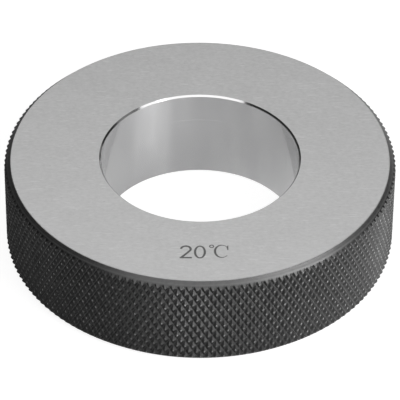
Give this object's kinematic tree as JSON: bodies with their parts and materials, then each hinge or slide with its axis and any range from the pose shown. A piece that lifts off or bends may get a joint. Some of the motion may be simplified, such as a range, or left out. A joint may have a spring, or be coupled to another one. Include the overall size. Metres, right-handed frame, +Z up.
{
  "type": "setting ring gauge",
  "caption": "Flat steel setting ring gauge with a polished gauging bore, ground faces and a chamfered, black diamond-knurled grip band.",
  "frame": {"origin": "centre of the lower ground face, on the bore's axis", "axes": "+Z up along the bore's axis, from the face it stands on to the other; +X to the right and +Y away from the viewer in the picture's view"},
  "size_m": [0.071, 0.071, 0.018],
  "materials": {
    "ground_steel": "fine ground faces and polished bore",
    "black_oxide": "black oxide, satin, on the knurled band and its chamfers"
  },
  "bodies": {
    "root": {"ring": "ground_steel"}
  },
  "joints": []
}
